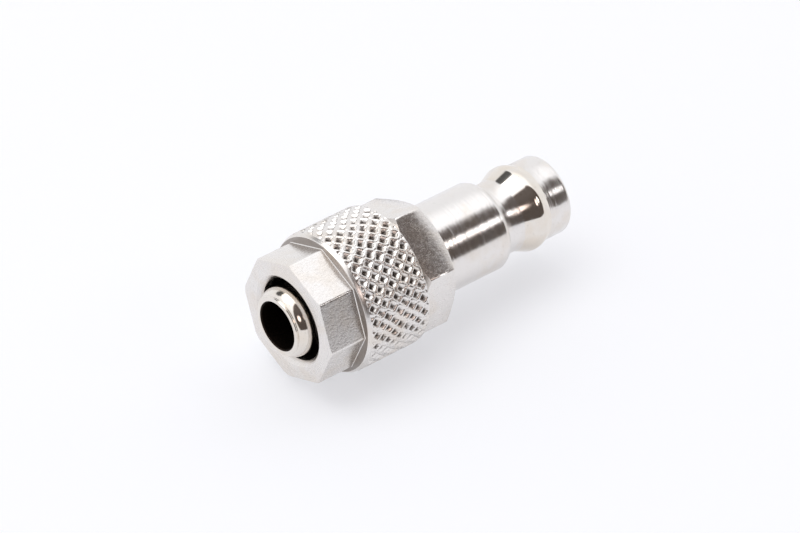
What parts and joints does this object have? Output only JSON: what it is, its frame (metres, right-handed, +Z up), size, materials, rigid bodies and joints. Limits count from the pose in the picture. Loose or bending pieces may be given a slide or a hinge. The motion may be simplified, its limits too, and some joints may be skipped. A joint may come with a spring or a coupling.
{
  "type": "push-on hose plug with union nut",
  "caption": "Nickel-plated turned quick-coupling plug with a bored nipple for plastic hose, a hexagon, and a loose diamond-knurled union nut that clamps the hose.",
  "frame": {"origin": "bottom centre of the part's box, lying on the nut's knurl with its axis level", "axes": "+X along the axis from the hose end to the coupling end, +Z up"},
  "size_m": [0.0334, 0.0144, 0.0144],
  "materials": {
    "body_plating": "bright nickel plate over turned brass, fine turning marks",
    "nut_plating": "satin nickel plate over turned and knurled brass"
  },
  "bodies": {
    "plug": {"plug_body": "body_plating"},
    "nut": {"union_nut": "nut_plating"}
  },
  "joints": [
    {"name": "nut_unscrews", "type": "slide", "parent": "plug", "child": "nut", "axis": [-1, 0, 0], "range_m": [0, 0.014]}
  ]
}
